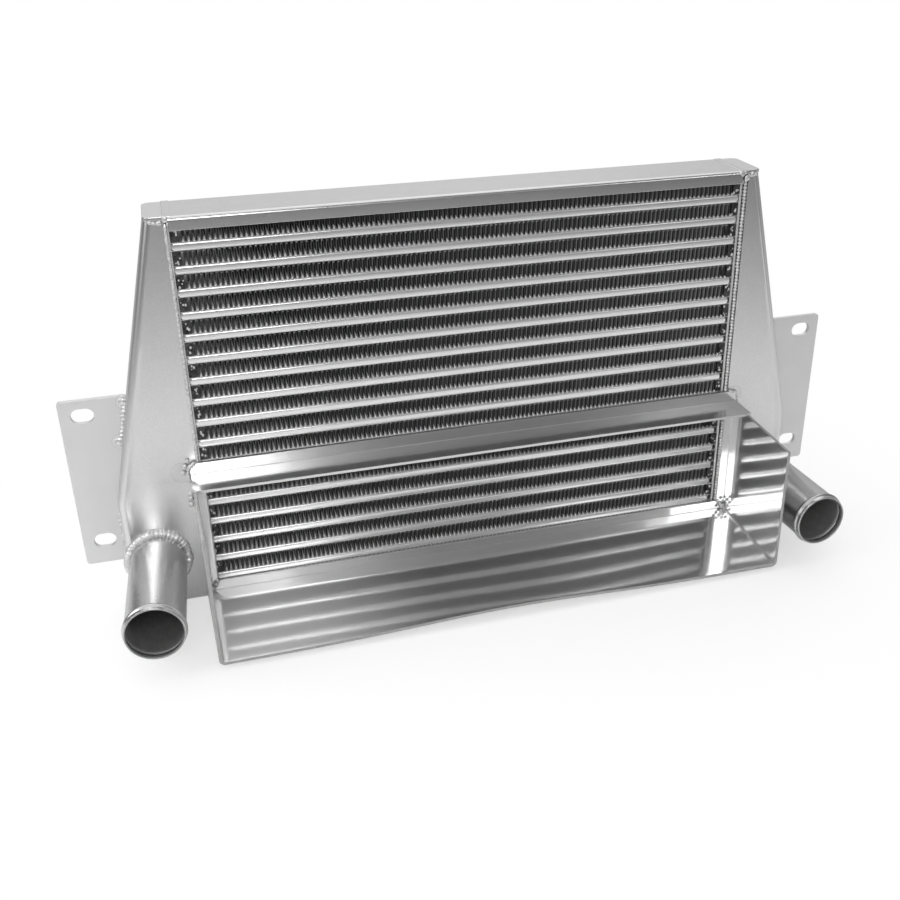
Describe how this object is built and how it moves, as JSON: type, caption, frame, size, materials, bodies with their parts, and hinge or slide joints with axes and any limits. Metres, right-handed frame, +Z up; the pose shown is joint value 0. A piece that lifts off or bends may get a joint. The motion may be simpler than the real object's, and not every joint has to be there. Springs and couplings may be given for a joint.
{
  "type": "intercooler",
  "caption": "Air-to-air intercooler: bar-and-plate core, tapered end tanks, beaded hose pipes, slotted mounting plates and a folded sheet air duct in front.",
  "frame": {"origin": "middle of the flat underside of the core", "axes": "+X to the viewer's right along the core, +Y to the rear, away from the duct, +Z up"},
  "size_m": [0.6474, 0.152, 0.32],
  "materials": {
    "core_plate": "mill finish",
    "channel_sheet": "brushed",
    "parting_sheet": "brazed",
    "tube_bar": "brazed, wiped bright",
    "header_bar": "brazed",
    "charge_fin": "brazed",
    "air_fin": "brazed, in shade",
    "tank_sheet": "satin, brushed",
    "pipe_tube": "drawn, brushed",
    "mount_sheet": "matte",
    "duct_sheet": "polished"
  },
  "bodies": {
    "root": {"core_bottom_plate": "core_plate", "core_top_plate": "core_plate", "top_channel": "channel_sheet", "parting_sheets": "parting_sheet", "front_tube_bars": "tube_bar", "rear_tube_bars": "tube_bar", "left_header_bars": "header_bar", "right_header_bars": "header_bar", "charge_turbulators": "charge_fin", "fin_row_01": "air_fin", "fin_row_02": "air_fin", "fin_row_03": "air_fin", "fin_row_04": "air_fin", "fin_row_05": "air_fin", "fin_row_06": "air_fin", "fin_row_07": "air_fin", "fin_row_08": "air_fin", "fin_row_09": "air_fin", "fin_row_10": "air_fin", "fin_row_11": "air_fin", "fin_row_12": "air_fin", "fin_row_13": "air_fin", "fin_row_14": "air_fin", "fin_row_15": "air_fin", "fin_row_16": "air_fin", "fin_row_17": "air_fin", "fin_row_18": "air_fin", "left_tank_shell": "tank_sheet", "right_tank_shell": "tank_sheet", "left_tank_top_cap": "tank_sheet", "right_tank_top_cap": "tank_sheet", "left_tank_bottom_cap": "tank_sheet", "right_tank_bottom_cap": "tank_sheet", "left_hose_pipe": "pipe_tube", "right_hose_pipe": "pipe_tube", "left_mount_plate": "mount_sheet", "right_mount_plate": "mount_sheet", "duct_tray": "duct_sheet", "duct_top_strip": "duct_sheet"}
  },
  "joints": []
}
